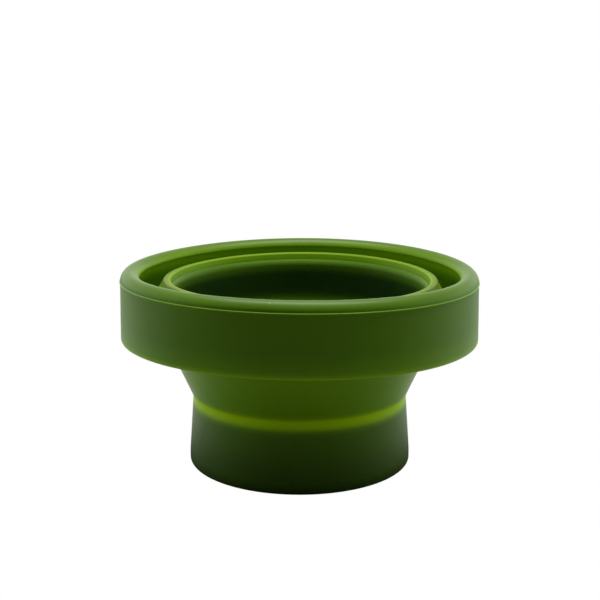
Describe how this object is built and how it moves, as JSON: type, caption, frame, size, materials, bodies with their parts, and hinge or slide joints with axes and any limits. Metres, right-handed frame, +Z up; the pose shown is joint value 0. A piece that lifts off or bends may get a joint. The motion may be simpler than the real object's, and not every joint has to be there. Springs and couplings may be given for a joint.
{
  "type": "canning funnel",
  "caption": "Collapsible silicone canning funnel: a wide rim ring, a middle ring and a jar spout, nested and joined by two folding cone webs.",
  "frame": {"origin": "centre of the spout's base, on the surface it stands on", "axes": "+Z up along the funnel's axis, from the spout to the rim; X and Y are free, because the funnel is round"},
  "size_m": [0.1202, 0.1202, 0.0674],
  "materials": {
    "olive_silicone": "satin"
  },
  "bodies": {
    "spout_ring": {"spout_lip": "olive_silicone", "spout_wall": "olive_silicone", "waist_hinge": "olive_silicone", "lower_fold_web": "olive_silicone"},
    "middle_ring": {"neck_hinge": "olive_silicone", "middle_wall": "olive_silicone", "crest_hinge": "olive_silicone", "upper_fold_web": "olive_silicone"},
    "rim_ring": {"band_hinge": "olive_silicone", "outer_band": "olive_silicone", "parting_ridge": "olive_silicone", "rim_bead": "olive_silicone"}
  },
  "joints": [
    {"name": "lower_fold", "type": "slide", "parent": "spout_ring", "child": "middle_ring", "axis": [0, 0, 1], "range_m": [-0.0395, 0], "deforming": ["lower_fold_web"]},
    {"name": "upper_fold", "type": "slide", "parent": "middle_ring", "child": "rim_ring", "axis": [0, 0, 1], "range_m": [0, 0.033], "deforming": ["upper_fold_web"]}
  ]
}
